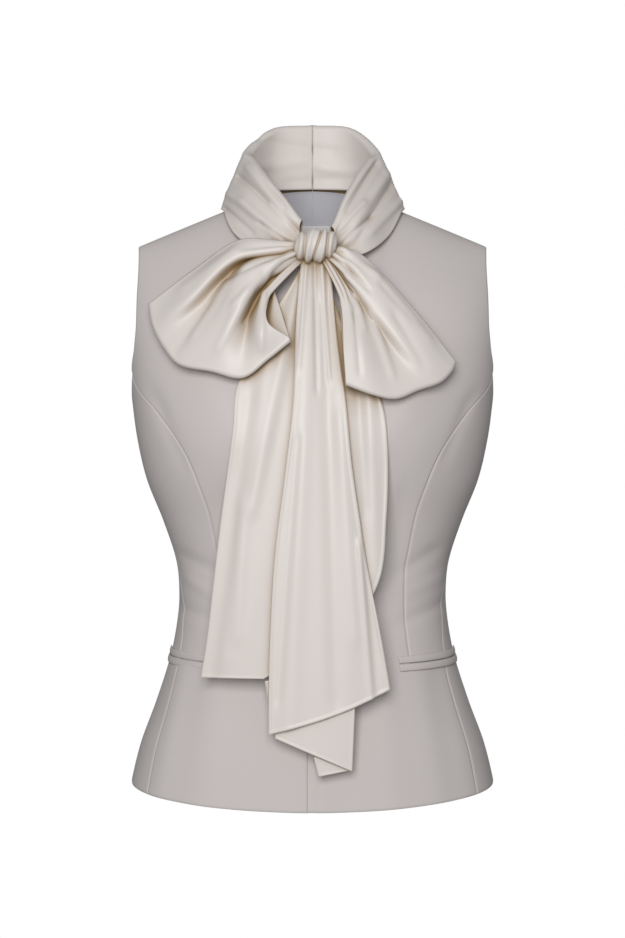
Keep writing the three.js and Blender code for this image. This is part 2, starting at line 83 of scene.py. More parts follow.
LABEL_WIDTH, LABEL_BOTTOM, LABEL_HEIGHT, LABEL_THICKNESS = 36, -34, 20, 0.6
TAIL_BOW, TAIL_SMOOTH = 16, 5
RIM_ROLL, INNER_SHARE, OUTER_SHARE = 4, 0.45, 0.55
KNOT_SIZE = (21, 14, 15.5)
KNOT_LEAN = 3
# The underlap steps back between these distances beside the centre
LAP_FROM, LAP_TO = -9, 0.5
# About how high each panel level lies above the hem
LEVEL_HEIGHTS = np.array([0, 132, 388, 580])
LINING_INSET = 2.0
LABEL_INSET = 4.0
LOOP_TURN = 3.5
KNOT_CENTRE = (3, -104, -52)

# Body rings: depth below the neck base, half width, front depth, back depth
RINGS = np.array([
    (-40, 190, 40, 50), (0, 190, 48, 62), (60, 190, 70, 81), (100, 190, 87, 94),
    (150, 185, 105, 103), (196, 180, 117, 105), (236, 174.5, 120, 103), (276, 165, 115, 98),
    (316, 149, 107, 91), (356, 136, 101, 85), (386, 133, 100, 83), (416, 135, 101, 86),
    (452, 142, 105, 94), (496, 156, 110, 104), (540, 172, 115, 114), (600, 186, 119, 122),
], float)
# Seams: level up the panel, degrees from the centre front
PRINCESS = np.array([
    (0, 39), (1, 39), (1.36, 39), (1.56, 38.5), (1.72, 42.5), (1.87, 54.5),
    (2, 73), (2.12, 67), (2.25, 62.5), (2.5, 60.5), (3, 61.6),
])
SIDE_FRONT = np.array([(0, 57), (0.5, 58.5), (1, 61.5), (1.18, 68), (1.3, 75), (1.6, 84), (2, 89)])
SIDE_BACK = np.array([
    (0, 124), (1, 119), (1.4, 116), (2, 107), (2.12, 113.5), (2.25, 117.5), (2.5, 119.5), (3, 118.4),
])
HANG = np.array([(60, 90), (110, 104), (160, 118), (230, 129), (320, 131), (460, 129), (570, 127)])
# Collar sections from the centre back to the knot: inner seam, rolled rim, outer lower edge, puff
COLLAR_RIGHT = [
    ((-0.1, 52, 21), (-0.1, 54, 86), (-0.1, 66, 14), 3), ((-44, 40, 18), (-40, 42, 81), (-64, 38, 6), 4),
    ((-64, 6, 8), (-65, 4, 54), (-89, 1, -4), 1), ((-64, -16, -2), (-59, -18, 42), (-87, -22, -12), 1),
    ((-58, -40, -14), (-48, -44, 25), (-75, -50, -36), 2),
    ((-36, -68, -30), (-25, -73, -6), (-46, -79, -58), 3),
    ((-13, -76, -48), (-11, -81, -26), (-16, -85, -66), 1),
]
COLLAR_LEFT = [
    ((0.1, 52, 21), (0.1, 54, 86), (0.1, 66, 14), 3), ((44, 40, 18), (40, 42, 81), (64, 38, 6), 4),
    ((63, 6, 8), (64, 4, 53), (89, 1, -4), 1), ((63, -16, -2), (57, -17, 41), (87, -22, -12), 1),
    ((57, -40, -14), (44, -43, 21), (74, -50, -37), 3), ((38, -66, -30), (30, -68, -6), (52, -78, -56), 4),
    ((16, -76, -50), (19, -81, -32), (21, -85, -66), 1),
]
# Bow loop folds: root, upper, lower and turn, each as across, up, lift off the hanging cloth
LOOP_RIGHT = np.array([
    ((-25, -49, 14), (-71, -46.5, 10), (-116, -75, 10), (-155, -104, 12)),
    ((-27, -53, 15), (-76, -65, 24), (-121, -105, 22), (-150, -126, 13)),
    ((-28.6, -57, 11), (-69, -70, 11), (-104, -108, 12), (-138, -148, 12)),
    ((-29.5, -62, 17), (-65.5, -76, 25), (-86, -119, 24), (-123, -163, 14)),
    ((-31.4, -68, 16), (-56, -90, 27), (-76, -129, 26), (-94, -169, 14)),
    ((-34, -77, 10), (-55.4, -105, 12), (-63, -138, 14), (-65, -175, 12)),
    ((-36, -84, 13), (-49, -109, 19), (-51, -137, 26), (-42, -158, 16)),
    ((-38, -89, 11), (-43.7, -108, 15), (-41.5, -128, 25), (-22, -141, 18)),
])
LOOP_LEFT = np.array([
    ((25, -50, 15), (54, -67, 12), (102, -120, 12), (134, -161, 12)),
    ((25, -58, 18), (53, -85, 20), (93, -133, 20), (129, -170, 14)),
    ((24.5, -66, 15), (47, -98, 19), (83, -143, 20), (118, -180, 14)),
    ((24.5, -71, 11), (43, -104, 12), (75, -150, 12), (98, -187, 12)),
    ((24.5, -76, 11), (38, -107, 15), (63, -150, 15), (77, -195, 13)),
    ((24.5, -80, 13), (33, -110, 19), (47, -152, 23), (55, -191, 18)),
    ((24.5, -87, 12), (28, -114, 18), (29, -152, 24), (31, -182, 20)),
])
# Hanging ends: depth below the neck base, left edge, right edge, lift
TAIL_BACK = np.array([
    (64, -9, 9, 2), (74, -12, 12, 2), (133, -47, 31, 2), (186, -71, 60, 2), (228, -75, 69.7, 2),
    (313, -86.6, 69.6, 2), (379, -94.5, 59.3, 2), (426, -100, 17, 2), (463, -106, -46, 2),
])
TAIL_FRONT = np.array([
    (60, -9, 13, 8), (74, -11.5, 17, 8), (134, -16, 22.5, 7), (200, -18, 31, 7), (266, -25.3, 37.5, 7),
    (350, -35.6, 50.7, 7), (435, -40.3, 66.7, 7), (490, -41.3, 76.2, 7),
])
# Three-cornered flaps: tip, foot, shoulder, lift
FOLDED_END = ((-40, -516.5), (37.6, -550), (40.5, -482), 4.5)
FOLDED_CORNER = ((1, -535), (5.7, -555), (36, -549), 2)
BACK_CORNER = ((-45, -464.5), (-41, -487), (-38, -463.5), 4.5)

# Creases: from x, z to x, z in the front view, half width, height (a ridge is positive, a trough negative)
FRONT_CREASES = [
    (-122, -352, -72, -372, 6, -1.3), (-126, -402, -82, -412, 7, -1.1), (-118, -374, -90, -390, 5, 0.9),
    (116, -346, 78, -368, 6, -1.2), (124, -398, 84, -414, 6, -1.2), (122, -372, 96, -382, 5, 0.8),
    (-92, -480, -104, -592, 20, 2.4), (-34, -470, -40, -592, 17, -1.6), (62, -470, 74, -592, 18, 2.0),
    (122, -470, 140, -586, 13, -1.5), (-128, -470, -150, -584, 11, 1.4), (24, -480, 30, -592, 13, -1.2),
    (-58, -250, -104, -176, 14, 1.2), (60, -246, 108, -180, 13, 1.3), (-150, -200, -128, -252, 7, -1.3),
    (152, -200, 130, -248, 6, -1.3), (-84, -300, -78, -360, 10, -0.9), (86, -296, 80, -352, 9, -0.9),
]
BACK_CREASES = [
    (-100, -366, -40, -380, 7, -1.3), (-88, -398, -28, -404, 7, 1.0), (102, -362, 46, -378, 6, -1.2),
    (84, -400, 30, -408, 8, 1.1), (-70, -470, -86, -578, 20, 2.2), (-14, -480, -18, -578, 15, -1.4),
    (52, -470, 66, -578, 18, 2.0), (112, -470, 128, -576, 13, -1.4), (-120, -160, -70, -214, 12, 1.2),
    (118, -156, 72, -210, 12, 1.1), (-30, -60, -74, -120, 14, -0.9), (34, -58, 78, -116, 13, -0.9),
]
COLLAR_CREASES = [
    (-49, 27, -28, -11, 3.5, -2.4), (-74, 26, -22, -29, 4, -2.6), (-62, 32, -34, -8, 4, 1.9),
    (-80, 6, -40, -34, 4, 2.0), (-86, -8, -60, -34, 3, -1.8), (-66, -4, -30, -42, 3.5, 1.6),
    (-48, -28, -20, -50, 2.5, -1.7), (-40, -10, -18, -36, 2.5, 1.6), (66, 46, 34, -14, 3.5, -2.6),
    (79, 18, 46, -39, 4, -2.3), (56, 40, 30, -4, 4, 1.8), (74, 28, 42, -26, 4, 2.0),
    (86, 0, 58, -34, 3.5, 1.7), (48, -8, 22, -40, 2.5, 1.6), (56, -20, 26, -50, 2.5, -1.7),
]
COLLAR_BACK_CREASES = [
    (-60, 40, -10, 50, 6, 1.3), (-50, 68, 20, 60, 5, -1.1), (8, 44, 58, 34, 6, 1.2),
    (-20, 28, 40, 32, 5, -0.9),
]
LOOP_CREASES = [
    (-30, -56, -70, -60, 3, 1.6), (-30, -62, -78, -82, 3, -1.5), (-75, -58, -120, -90, 5, 1.6),
    (-34, -70, -72, -108, 3, 1.6), (-38, -80, -64, -124, 2.5, -1.7), (-62, -100, -88, -150, 4, 1.6),
    (-100, -110, -132, -156, 5, -1.3), (-82, -92, -112, -136, 4, 1.2), (-46, -100, -48, -150, 3, 1.3),
    (30, -58, 60, -82, 3, 1.6), (30, -68, 52, -94, 2.5, -1.6), (60, -82, 108, -140, 5, 1.6),
    (80, -122, 104, -164, 5, -1.4), (34, -84, 48, -130, 3, 1.4), (56, -122, 74, -174, 4, 1.5),
    (40, -120, 44, -172, 3, -1.4), (66, -92, 92, -122, 3, -1.1),
]
TAIL_BACK_CREASES = [
    (-14, -90, -56, -300, 6, 2.0), (-40, -150, -82, -440, 12, 2.2), (-58, -200, -94, -455, 7, -1.6),
    (52, -180, 60, -360, 7, 1.8), (40, -130, 50, -300, 6, -1.4), (-66, -300, -70, -420, 6, 1.2),
]
TAIL_FRONT_CREASES = [
    (44, -336, 56, -486, 3, 1.6), (50, -330, 62, -486, 5, -1.5), (-5, -120, -22, -505, 10, 2.0),
    (12, -110, 22, -480, 7, -1.7), (-6, -72, -13, -170, 2.5, 1.7), (2, -72, 4, -190, 2.5, -1.6),
    (9, -72, 16, -180, 2.5, 1.5), (26, -220, 40, -420, 6, 1.3), (-14, -240, -32, -480, 4, -1.2),
]


def through(rows, column):
    """A smooth curve through one column of a table, clamped outside it."""
    t, y = rows[:, 0], rows[:, column]
    here = np.arange(len(t))
    before, after = np.maximum(here - 1, 0), np.minimum(here + 1, len(t) - 1)
    slope = (y[after] - y[before]) / (t[after] - t[before])

    def curve(at):
        at = np.clip(at, t[0], t[-1])
        i = np.clip(np.searchsorted(t, at, side="right") - 1, 0, len(t) - 2)
        width = t[i + 1] - t[i]
        s = (at - t[i]) / width
        rise = s * s * (3 - 2 * s)
        bend = s * (1 - s) ** 2 * slope[i] + s * s * (s - 1) * slope[i + 1]
        return y[i] + (y[i + 1] - y[i]) * rise + bend * width

    return curve


def through_points(points):
    """The same for points spaced evenly from 0 to 1."""
    points = np.asarray(points, float)
    rows = np.column_stack([np.linspace(0, 1, len(points)), points])
    curves = [through(rows, k + 1) for k in range(points.shape[1])]
    return lambda at: np.stack([curve(at) for curve in curves], -1)


def smooth(low, high, at):
    t = np.clip((at - low) / (high - low), 0, 1)
    return t * t * (3 - 2 * t)


half_width, front_of, back_of = through(RINGS, 1), through(RINGS, 2), through(RINGS, 3)
princess, side_front, side_back = through(PRINCESS, 1), through(SIDE_FRONT, 1), through(SIDE_BACK, 1)
hang_depth = through(HANG, 1)


def ridge_height(x):
    out = np.abs(x) - NECK_HALF_WIDTH
    neck = NECK_WALL_HEIGHT * np.clip(-out / NECK_HALF_WIDTH, 0, 1) ** 0.9
    return np.where(out >= 0, -SHOULDER_SLOPE * out, neck)


def body_point(degrees, z):
    angle = np.radians(degrees)
    fullness = 1 + RING_FULLNESS * np.sin(2 * angle) ** 2
    x = half_width(-z) * np.sin(angle) * fullness
    facing = np.cos(angle)
    below = np.clip((ridge_height(x) - z) / SHOULDER_ROUND, 0, 1)
    rise = np.sqrt(1 - (1 - below) ** 2)
    depth = np.where(facing > 0, front_of(-z), back_of(-z)) * facing * fullness * rise
    over, up = (np.abs(x) - BUST_X) / BUST_HALF_WIDTH, (z - BUST_Z) / BUST_HALF_HEIGHT
    cup = BUST_LIFT * np.exp(-(over**2) - up**2)
    cup = np.where(facing > 0, cup * np.clip(facing * 2, 0, 1), 0)
    return np.stack([x, -depth - cup, z + 0 * x], -1)


def hanging_depth(x, z):
    """How far forward cloth hangs: clear of the body, and straight off the bust."""
    reach = np.clip(np.abs(x) / half_width(-z), 0, 0.98)
    angle = np.arcsin(reach)
    for _ in range(6):
        angle = np.arcsin(np.clip(reach / (1 + RING_FULLNESS * np.sin(2 * angle) ** 2), 0, 1))
    body = -body_point(np.degrees(angle), z)[..., 1] + 1
    free = hang_depth(-z) - TAIL_BOW * (x / 100) ** 2
    return body + TAIL_SMOOTH * np.log1p(np.exp((free - body) / TAIL_SMOOTH))


def pocket_height(degrees):
    out = (np.abs(degrees) - POCKET_INNER) / (POCKET_OUTER - POCKET_INNER)
    return POCKET_HEIGHT + POCKET_RISE * np.clip(out, 0, 1.2)


def top_height(x, is_front):
    inside = np.clip(np.abs(x) / NECK_HALF_WIDTH, 0, 1)
    front, back = -FRONT_NECK_DROP * (1 - inside**2) ** 0.7, BACK_NECK_RISE * (1 - inside**2) ** 0.8
    neck = np.where(is_front, front, back)
    return np.where(np.abs(x) >= NECK_HALF_WIDTH, ridge_height(x), neck)


def level_height(degrees, top_degrees, level):
    facing = np.cos(np.radians(degrees))
    hem = HEM_SIDE - np.where(facing > 0, HEM_FRONT_DIP, HEM_BACK_DIP) * facing**2
    pocket = pocket_height(degrees)
    off = np.clip((np.abs(degrees) - 90) / UNDERARM_HALF_ANGLE, -1, 1)
    underarm = UNDERARM_HEIGHT + UNDERARM_RISE * off**2
    top = np.full_like(degrees, -20.0)
    for _ in range(10):
        x = body_point(top_degrees, np.minimum(top, 20))[..., 0]
        top = top_height(x, np.abs(top_degrees) < 90)
    top = top - SEAM_GAP / 2
    upper = underarm + (top - underarm) * np.sin((np.clip(level, 2, 3) - 2) * np.pi / 2)
    lower = pocket + (underarm - pocket) * (level - 1)
    return np.where(level <= 1, hem + (pocket - hem) * level, np.where(level <= 2, lower, upper))


def edge_at(x):
    """A straight edge beside the centre front, as an angle."""

    def edge(level):
        z = level_height(0 * level, 0 * level, level)
        return np.degrees(np.arcsin(x / half_width(-z)))

    return edge


def centre_back(level):
    return 180 + 0 * level


def panel(seams, gap=SEAM_GAP):
    """A surface between seams: across counts from one seam to the next."""
    trim = np.degrees(gap / 2 / half_width(-POCKET_HEIGHT))
    last = len(seams) - 1

    def angle_at(across, level):
        edges = np.stack([seam(level) + 0 * across for seam in seams])
        i = np.clip(np.floor(across).astype(int), 0, last - 1)
        low = np.take_along_axis(edges, i[None], 0)[0]
        high = np.take_along_axis(edges, i[None] + 1, 0)[0]
        near = [np.clip(1 - 4 * d, 0, None) for d in (across, last - across)]
        return low + (high - low) * (across - i) + trim * (near[0] - near[1])

    def surface(across, level):
        degrees = angle_at(across, level)
        top = angle_at(across, np.full_like(level, 3.0))
        return body_point(degrees, level_height(degrees, top, level))

    return surface


def spaced(start, end, count):
    """Values from start to end, closer together at both ends."""
    t = np.linspace(0, 1, count + 1)
    return start + (end - start) * (t - 0.8 * np.sin(2 * np.pi * t) / (2 * np.pi))


def levels(count, start=0.0, end=3.0):
    """Levels up a panel at about even heights, with the pocket line among them."""
    stops = np.arange(4)
    low, high = np.interp([start, end], stops, LEVEL_HEIGHTS)
    values = np.interp(spaced(low, high, count), LEVEL_HEIGHTS, stops)
    if start < 1 < end:
        values[np.argmin(np.abs(values - 1))] = 1
    return values


def creases(rows, x, z):
    """Heights of soft ridges and troughs, each a little weaker towards its far end."""
    height = np.zeros_like(x)
    for x0, z0, x1, z1, half, lift in rows:
        long = np.hypot(x1 - x0, z1 - z0)
        dx, dz = (x1 - x0) / long, (z1 - z0) / long
        along = ((x - x0) * dx + (z - z0) * dz) / long
        off = (z - z0) * dx - (x - x0) * dz
        past = np.clip((np.abs(along - 0.5) - 0.5) * long / (2 * half), 0, None)
        swell = 1 - 0.4 * np.clip(along, 0, 1)
        height += lift * swell * np.exp(-((off / half) ** 2) - past**2)
    return height


def body_relief(point):
    side = smooth(0, 25, np.abs(point[..., 1]))
    front = creases(FRONT_CREASES, point[..., 0], point[..., 2])
    back = creases(BACK_CREASES, point[..., 0], point[..., 2])
    return side * np.where(point[..., 1] < 0, front, back)


def linear(hex_colour):
    """An sRGB hex colour as linear RGBA."""
    parts = [int(hex_colour[i : i + 2], 16) / 255 for i in (1, 3, 5)]
    return [c / 12.92 if c <= 0.04045 else ((c + 0.055) / 1.055) ** 2.4 for c in parts] + [1]


def add_node(tree, kind, inputs=(), **settings):
    made = tree.nodes.new(kind)
    for name, value in settings.items():
        setattr(made, name, value)
    for key, value in dict(inputs).items():
        if isinstance(value, bpy.types.NodeSocket):
            tree.links.new(value, made.inputs[key])
        else:
            made.inputs[key].default_value = value
    return made


# A wave texture of scale 1 repeats every 0.314 units.
WAVE_PERIOD = 0.314


def cloth_material(name, colour, fleck, fleck_size, roughness, sheen, weave, bump, painted_fold_shade=None):
    """Cloth: a base colour with slight flecks, a woven bump, and a painted shade tone deep in folds.

    fleck_size and weave are in millimetres, the units of the cloth map.
    """
    material = bpy.data.materials.new(name)
    material.use_nodes = True
    tree = material.node_tree
    tree.nodes.clear()
    cloth_map = add_node(tree, "ShaderNodeUVMap", uv_map="cloth")
    flecks = add_node(
        tree, "ShaderNodeTexNoise", {"Vector": cloth_map.outputs[0], "Scale": 1 / fleck_size, "Detail": 3.0}
    )
    shade = add_node(
        tree, "ShaderNodeMapRange", {"Value": flecks.outputs[0], 3: 1 - fleck, 4: 1 + fleck}
    )
    tinted = add_node(
        tree, "ShaderNodeVectorMath", {0: linear(colour)[:3], "Scale": shade.outputs[0]}, operation="SCALE"
    )
    base = tinted.outputs[0]
    if painted_fold_shade:
        # Painted shade: where ambient occlusion finds a fold, the satin colour is mixed towards warm gold.
        depth = add_node(tree, "ShaderNodeAmbientOcclusion", {"Distance": 0.03}, samples=8)
        fold = add_node(tree, "ShaderNodeMapRange", {"Value": depth.outputs["AO"], 1: 0.3, 2: 0.92})
        mix = add_node(
            tree, "ShaderNodeMix", {0: fold.outputs[0], 6: linear(painted_fold_shade), 7: base}, data_type="RGBA"
        )
        base = mix.outputs[2]
    warp = add_node(tree, "ShaderNodeTexWave", {"Vector": cloth_map.outputs[0], "Scale": WAVE_PERIOD / weave})
    weft = add_node(
        tree,
        "ShaderNodeTexWave",
        {"Vector": cloth_map.outputs[0], "Scale": WAVE_PERIOD / weave},
        bands_direction="Y",
    )
    woven = add_node(tree, "ShaderNodeMath", {0: warp.outputs[1], 1: weft.outputs[1]}, operation="MULTIPLY")
    relief = add_node(
        tree, "ShaderNodeBump", {"Strength": bump, "Distance": 0.0002, "Height": woven.outputs[0]}
    )
    shader = add_node(
        tree,
        "ShaderNodeBsdfPrincipled",
        {
            "Base Color": base,
            "Roughness": roughness,
            "Specular IOR Level": 0.35,
            "Sheen Weight": sheen,
            "Sheen Roughness": 0.5,
            "Normal": relief.outputs[0],
        },
    )
    add_node(tree, "ShaderNodeOutputMaterial", {"Surface": shader.outputs[0]})
    return material


def materials():
    """The real cloths, made once."""
    if "greige_suiting" not in bpy.data.materials:
        cloths = bpy.context.scene.waistcoat_sizes
        # Plain woven greige suiting: matt, with melange flecks. Its 0.3 mm yarns are too fine to show,
        # so the weave is drawn at 0.9 mm and the flecks at 1.6 mm.
        cloth_material("greige_suiting", cloths.suiting_colour, 0.05, 1.6, 0.92, 0.04, 0.9, 0.35)
        # Ivory satin: a soft highlight along the folds, and painted warm gold shade deep inside them.
        # Its threads are too fine to show, and are drawn at 0.5 mm.
        cloth_material(
            "ivory_satin", cloths.satin_colour, 0.015, 30.0, 0.38, 0.04, 0.5, 0.08,
            painted_fold_shade=cloths.painted_fold_shade_colour,
        )
        # Pale blue-grey lining: smooth, with a slight sheen. Its weave is drawn at 0.6 mm so that it shows.
        cloth_material("blue_grey_lining", cloths.lining_colour, 0.02, 6.0, 0.5, 0.1, 0.6, 0.15)
        # Woven label cloth, left bare: off-white and matt
        cloth_material("label_cloth", "#e6e4e2", 0.02, 1.0, 0.75, 0.0, 0.5, 0.2)
    return {
        "suiting": bpy.data.materials["greige_suiting"],
        "satin": bpy.data.materials["ivory_satin"],
        "lining": bpy.data.materials["blue_grey_lining"],
        "label": bpy.data.materials["label_cloth"],
    }


def cloth(node, slot, surface, us, vs, thickness, held, rests_on=(), *, outside=False, mirrored=False,
          face=1, keep=None, inset=None, relief=None, edge=(0.5, 1.4, 0.0), with_pieces=(), declare=True):
    """One piece of cloth: a grid moved onto a surface, its creases and edge, and its thickness.

    edge is the height of the rolled edge, its half width and how far in from the cut it lies.
    face is 1 where the grid's normal points out of the garment and -1 where it points in.
    declare is not used; the small pieces that go with a larger sheet pass it off.
    """
    u, v = np.meshgrid(us, vs, indexing="ij")
    point = surface(u, v)
    normal = np.cross(np.gradient(point, axis=0), np.gradient(point, axis=1))
    normal /= np.maximum(np.linalg.norm(normal, axis=-1, keepdims=True), 1e-9)
    if inset:
        point = point - normal * inset(point)[..., None]
    run_u, run_v = (
        np.concatenate([0 * np.take(point, [0], axis)[..., 0],
                        np.cumsum(np.linalg.norm(np.diff(point, axis=axis), axis=-1), axis)], axis)
        for axis in (0, 1)
    )
    end_u = run_u[-1:] + 0 * run_u
    if keep:
        end_u = np.where(v > 1, run_u[np.argmin(np.abs(us - 1))][None], end_u)
    inwards = np.minimum(np.minimum(run_u, np.abs(end_u - run_u)), np.minimum(run_v, run_v[:, -1:] - run_v))
    height = edge[0] * np.exp(-(((inwards - edge[2]) / edge[1]) ** 2))
    if relief is not None:
        height = height + relief(point, u, v)
    point = point + normal * face * height[..., None]
    if mirrored:
        point = point * (-1, 1, 1)

    mesh = bpy.data.meshes.new(node + "_cloth")
    bm = bmesh.new()
    nu, nv = len(us) - 1, len(vs) - 1
    bmesh.ops.create_grid(bm, x_segments=nu, y_segments=nv, size=1)
    bm.verts.ensure_lookup_table()
    at = np.array([vert.co[:2] for vert in bm.verts])
    i = np.rint((at[:, 0] + 1) / 2 * nu).astype(int)
    j = np.rint((at[:, 1] + 1) / 2 * nv).astype(int)
    uv = bm.loops.layers.uv.new("cloth")
    for vert, place in zip(bm.verts, point[i, j] / 1000):
        vert.co = place
    for face_made in bm.faces:
        face_made.smooth = True
        for loop in face_made.loops:
            a, b = i[loop.vert.index], j[loop.vert.index]
            loop[uv].uv = (run_u[a, b], run_v[a, b])
    if keep:
        dropped = []
        for face_made in bm.faces:
            corners = [vert.index for vert in face_made.verts]
            if not keep(us[i[corners]].mean(), vs[j[corners]].mean()):
                dropped.append(face_made)
        bmesh.ops.delete(bm, geom=dropped, context="FACES")
    if mirrored:
        bmesh.ops.reverse_faces(bm, faces=bm.faces[:])
    area = sum(face_made.calc_area() for face_made in bm.faces)
    bm.to_mesh(mesh)
    bm.free()

    piece = bpy.data.objects.new(node + "_cloth", mesh)
    bpy.context.scene.collection.objects.link(piece)
    solidify = piece.modifiers.new("thickness", "SOLIDIFY")
    solidify.thickness = thickness / 1000
    solidify.offset = 1 if outside else -1
    mesh.materials.append(materials()[slot])
    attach(piece, "root")
    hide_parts(node)
    return piece


def build_welts(side):
    """The two jettings of one pocket, with the mouth between them."""
    names = []
    for place, start in (("upper", POCKET_MOUTH / 2), ("lower", -POCKET_MOUTH / 2 - WELT_WIDTH)):

        def welt(across, up, start=start):
            degrees = POCKET_INNER + (POCKET_OUTER - POCKET_INNER) * across
            point = body_point(degrees, pocket_height(degrees) + start + WELT_WIDTH * up)
            out = point * (1, 1, 0)
            out /= np.linalg.norm(out, axis=-1, keepdims=True)
            return point + out * (WELT_LIFT + body_relief(point)[..., None])

        node = f"pocket_welt_{place}_{side}"
        piece = cloth(node, "suiting", welt, np.linspace(0, 1, 90), np.linspace(0, 1, 9), WELT_THICKNESS,
                      "laid", outside=True, mirrored=side == "right", edge=(0, 1, 0), declare=False,
                      relief=lambda point, u, v: 0.5 * np.sin(np.pi * v))
        names.append(piece.name)
    return names


def build_body(sizes):
    """The suiting shell: fronts, side fronts, sides and backs, with the pocket welts on them."""

    def relief(sign):
        return lambda point, u, v: sizes.creases * body_relief(point * (sign, 1, 1))

    groove = (-0.7, 1.3, 0.0)
    thick = sizes.shell * 1000
    for side, sign in (("right", -1), ("left", 1)):
        mirrored = side == "right"
        shape = {"mirrored": mirrored, "relief": relief(sign), "edge": groove}
        plain = panel([edge_at(LAP_EDGE if mirrored else UNDERLAP_EDGE), princess, side_front])

        def front(across, level, plain=plain):
            point = plain(across, level)
            inner = plain(np.clip(across - 0.02, 0, None), level) - point
            inner /= np.maximum(np.linalg.norm(inner, axis=-1, keepdims=True), 1e-9)
            at_corner = (across == 1) & (level > 1)
            return point + inner * SEAM_GAP / 2 * at_corner[..., None]

        def step_back(point):
            return LAP_STEP * smooth(LAP_FROM, LAP_TO, -point[..., 0])

        us = np.concatenate([spaced(0, 1, 72), spaced(1, 2, 26)[1:]])
        cloth(f"front_{side}", "suiting", front, us, levels(190), thick, "hung", [f"back_{side}_cloth"],
              keep=lambda across, level: across < 1 or level < 1, inset=None if mirrored else step_back,
              with_pieces=build_welts(side), **shape)
        cloth(f"front_side_{side}", "suiting", panel([princess, side_front]), spaced(0, 1, 40),
              levels(110, 1 + SEAM_GAP / 280, 2), thick, "hung", [f"front_{side}_cloth"], **shape)
        cloth(f"side_{side}", "suiting", panel([side_front, side_back]), spaced(0, 1, 56),
              levels(140, 0, 2), thick, "hung", [f"back_{side}_cloth"], **shape)
        cloth(f"back_{side}", "suiting", panel([side_back, centre_back]), spaced(0, 1, 84), levels(180),
              thick, "hung", **shape)


def build_lining(sizes):
    """The back lining and the bare label on it."""
    for side, sign in (("right", -1), ("left", 1)):

        def soft(point, u, v, sign=sign):
            return 0.8 * body_relief(point * (sign, 1, 1))

        cloth(f"lining_back_{side}", "lining", panel([side_back, centre_back], 2 * SEAM_GAP),
              spaced(0, 1, 60), levels(120, 0.25, 3), sizes.lining * 1000, "hung", [f"back_{side}_cloth"],
              mirrored=side == "right", inset=lambda point: np.full(point.shape[:-1], LINING_INSET),
              relief=soft, edge=(-0.3, 1.5, 0))

    def label(across, up):
        z = LABEL_BOTTOM + LABEL_HEIGHT * up
        swing = np.degrees(np.arcsin(LABEL_WIDTH / 2 / half_width(-z)))
        return body_point(180 - swing + 2 * swing * across, z)

    cloth("label", "label", label, np.linspace(0, 1, 31), np.linspace(0, 1, 17), LABEL_THICKNESS, "laid",
          ["lining_back_right_cloth"], edge=(0, 1, 0),
          inset=lambda point: np.full(point.shape[:-1], LABEL_INSET))


def collar_surface(rows):
    seam, rim, base = (through_points([row[k] for row in rows]) for k in range(3))
    puff = through_points([[row[3]] for row in rows])

    def surface(along, across):
        edge, bottom = rim(along), base(along)
        out = edge * (1, 1, 0)
        out /= np.linalg.norm(out, axis=-1, keepdims=True)
        up = np.array([0, 0, 1.0])
        centre = edge - RIM_ROLL * up

        def roll(turn):
            turn = turn[..., None]
            return centre - out * RIM_ROLL * np.cos(turn) + up * RIM_ROLL * np.sin(turn)

        low = (across / INNER_SHARE)[..., None]
        inner = seam(along) + (roll(0 * across) - seam(along)) * low
        turned = roll(np.pi * np.clip((across - INNER_SHARE) / (OUTER_SHARE - INNER_SHARE), 0, 1))
        down = np.clip((across - OUTER_SHARE) / (1 - OUTER_SHARE), 0, 1)[..., None]
        outer = roll(0 * across + np.pi) * (1 - down) + bottom * down
        outer = outer + out * puff(along) * np.sin(np.pi * down)
        at = across[..., None]
        return np.where(at < INNER_SHARE, inner, np.where(at <= OUTER_SHARE, turned, outer))

    return surface


def build_collar(sizes):
    """The doubled satin collar band, pleated into the knot."""

    def pleats(point, along, across):
        x, y, z = (point[..., k] for k in range(3))
        outer = smooth(0.44, 0.62, across)
        front = creases(COLLAR_CREASES, x, z) * smooth(5, -15, y)
        back = creases(COLLAR_BACK_CREASES, x, z) * smooth(0, 20, y)
        gathered = smooth(0.72, 1.0, along) * 1.3 * np.sin(9 * np.pi * across + 5 * along)
        return sizes.creases * ((front + gathered) * outer + back)

    across = np.concatenate([
        np.linspace(0, INNER_SHARE - 0.01, 30), np.linspace(INNER_SHARE, OUTER_SHARE, 13),
        np.linspace(OUTER_SHARE + 0.01, 1, 52),
    ])
    for side, rows in (("right", COLLAR_RIGHT), ("left", COLLAR_LEFT)):
        left = side == "left"
        cloth(f"collar_{side}", "satin", collar_surface(rows), np.linspace(0, 1, 150), across,
              sizes.satin * 1000, "folded", [f"back_{side}_cloth", f"front_{side}_cloth"], outside=left,
              face=1 if left else -1, relief=pleats, edge=(0.3, 1.5, 1.5))


def build_knot(sizes):
    """The knot: a band wrapped up over the gathered cloth, with its pleats running round it."""

    def band(across, turn):
        reach = np.sqrt(1 - across**2) ** 0.8
        x, y, z = KNOT_CENTRE
        half_wide, half_deep, half_high = KNOT_SIZE
        lean = KNOT_LEAN * np.sin(turn) * reach
        return np.stack([x + half_wide * across + lean, y - half_deep * reach * np.cos(turn),
                         z + half_high * reach * np.sin(turn)], -1)

    def pleats(point, across, turn):
        height = 0 * across
        # Each pleat: middle across the knot, half width, height
        rows = (
            (-0.72, 0.1, 1.2), (-0.5, 0.07, -1.5), (-0.22, 0.11, 1.3), (0.06, 0.06, -1.7),
            (0.3, 0.1, 1.4), (0.52, 0.06, -1.3), (0.74, 0.09, 1.1),
        )
        for middle, half, lift in rows:
            off = across - middle - 0.08 * np.sin(turn + 6 * middle)
            height = height + lift * np.exp(-((off / half) ** 2))
        return sizes.creases * height

    cloth("knot", "satin", band, np.linspace(-0.96, 0.96, 90), np.radians(np.linspace(-176, 176, 120)),
          sizes.satin * 1000, "gathered", ["collar_right_cloth", "collar_left_cloth"], relief=pleats,
          edge=(0, 1, 0))


